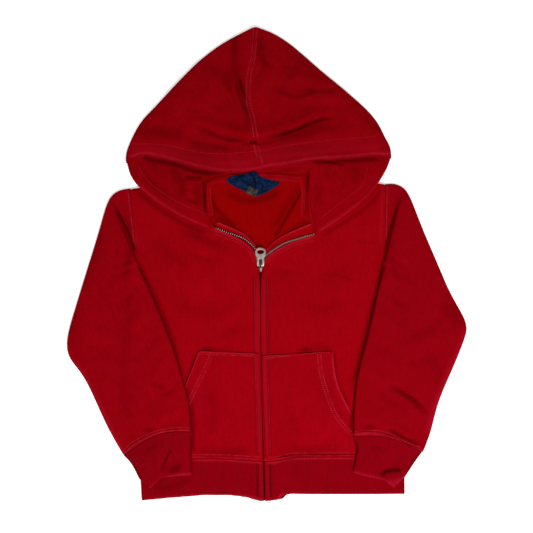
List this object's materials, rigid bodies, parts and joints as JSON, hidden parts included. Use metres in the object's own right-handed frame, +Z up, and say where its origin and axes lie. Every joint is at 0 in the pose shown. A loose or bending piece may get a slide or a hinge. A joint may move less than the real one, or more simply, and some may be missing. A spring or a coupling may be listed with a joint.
{
  "type": "kids hoodie",
  "caption": "Child's zip-front hooded sweatshirt laid flat, hood spread above, sleeves folded down over the fronts, with pouch pockets, rib cuffs and hem, and a swinging zip pull.",
  "frame": {"origin": "on the surface that the garment lies on, below the middle of its whole outline", "axes": "+X to the viewer's right across the garment, +Y from the hem to the hood along its length, +Z up from the surface through the layers"},
  "size_m": [0.561, 0.6617, 0.0171],
  "materials": {
    "red_fleece": "brushed-back sweatshirt knit, slightly worn at the seams",
    "red_rib": "fine rib knit",
    "red_tape": "woven tape",
    "navy_label": "woven satin label, bare",
    "pewter": "satin pewter plating"
  },
  "bodies": {
    "garment": {"back": "red_fleece", "front_left": "red_fleece", "front_right": "red_fleece", "pocket_left": "red_fleece", "pocket_right": "red_fleece", "hem_band": "red_rib", "sleeve_left": "red_fleece", "sleeve_right": "red_fleece", "cuff_left": "red_rib", "cuff_right": "red_rib", "hood_left": "red_fleece", "hood_right": "red_fleece", "neck_tape": "red_tape", "label": "navy_label", "zip_tape_left": "red_tape", "zip_tape_right": "red_tape", "zip_slider": "pewter"},
    "pull": {"pull_tab": "pewter"}
  },
  "joints": [
    {"name": "pull_swing", "type": "hinge", "parent": "garment", "child": "pull", "pos_m": [-0.0088, -0.0016, 0.0094], "axis": [1, 0, 0], "range_deg": [0, 170]}
  ]
}
